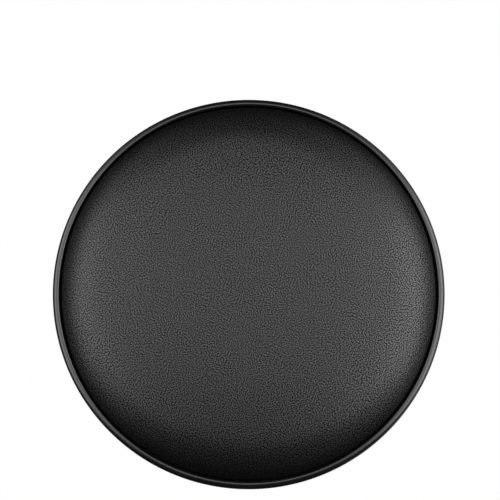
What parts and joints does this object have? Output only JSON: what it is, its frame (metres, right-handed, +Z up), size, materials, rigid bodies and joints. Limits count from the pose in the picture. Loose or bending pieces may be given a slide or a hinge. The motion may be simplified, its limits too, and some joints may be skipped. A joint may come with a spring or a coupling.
{
  "type": "swivel workshop stool",
  "caption": "Round padded swivel stool: crowned vinyl seat in a beaded steel band, ball-bearing swivel, splayed bent-tube legs with a foot ring and rubber feet.",
  "frame": {"origin": "on the floor, on the swivel's axis, midway between the four feet", "axes": "+Z up along the swivel's axis, -Y towards the front, the feet on the diagonals between X and Y"},
  "size_m": [0.36, 0.36, 0.73],
  "materials": {
    "seat_vinyl": "black upholstery vinyl with a fine pebble grain, satin",
    "seat_foam": "moulded polyurethane foam, open cells, matte",
    "plywood": "raw birch plywood",
    "band_paint": "black powder coat, smooth satin",
    "black_zinc": "black zinc plate",
    "zinc_steel": "bright zinc plate",
    "swivel_steel": "black electrocoat on pressed steel",
    "bush_bronze": "sintered bronze",
    "ball_steel": "polished bearing steel, greased",
    "cage_plastic": "natural nylon",
    "black_plastic": "black moulded polypropylene",
    "frame_chrome": "bright chrome plate on steel tube",
    "foot_rubber": "black moulded rubber, matte"
  },
  "bodies": {
    "base": {"swivel_bottom_plate": "swivel_steel", "pivot_pin": "zinc_steel", "pivot_washer": "zinc_steel", "pivot_nut": "zinc_steel", "weld_nuts": "zinc_steel", "leg_saddles": "black_plastic", "leg_bolts": "zinc_steel", "leg_bolt_washers": "zinc_steel", "leg_plugs": "black_plastic", "foot_ring": "frame_chrome", "ring_bolts": "frame_chrome", "ring_cap_nuts": "frame_chrome", "foot_washers": "zinc_steel", "leg_front_left": "frame_chrome", "foot_front_left": "foot_rubber", "leg_front_right": "frame_chrome", "foot_front_right": "foot_rubber", "leg_rear_right": "frame_chrome", "foot_rear_right": "foot_rubber", "leg_rear_left": "frame_chrome", "foot_rear_left": "foot_rubber"},
    "seat": {"seat_cover": "seat_vinyl", "foam_pad": "seat_foam", "seat_board": "plywood", "edge_band": "band_paint", "band_screws": "black_zinc", "tee_nuts": "zinc_steel", "seat_bolts": "zinc_steel", "seat_bolt_washers": "zinc_steel", "swivel_top_plate": "swivel_steel", "pivot_bush": "bush_bronze"},
    "bearing": {"bearing_balls": "ball_steel", "ball_cage": "cage_plastic"}
  },
  "joints": [
    {"name": "seat_swivel", "type": "hinge", "parent": "base", "child": "seat", "pos_m": [0, 0, 0.6589], "axis": [0, 0, 1], "continuous": true},
    {"name": "cage_roll", "type": "hinge", "parent": "base", "child": "bearing", "pos_m": [0, 0, 0.6589], "axis": [0, 0, 1], "continuous": true}
  ],
  "couplings": [
    {"joint": "cage_roll", "follows": "seat_swivel", "ratio": 0.5}
  ]
}
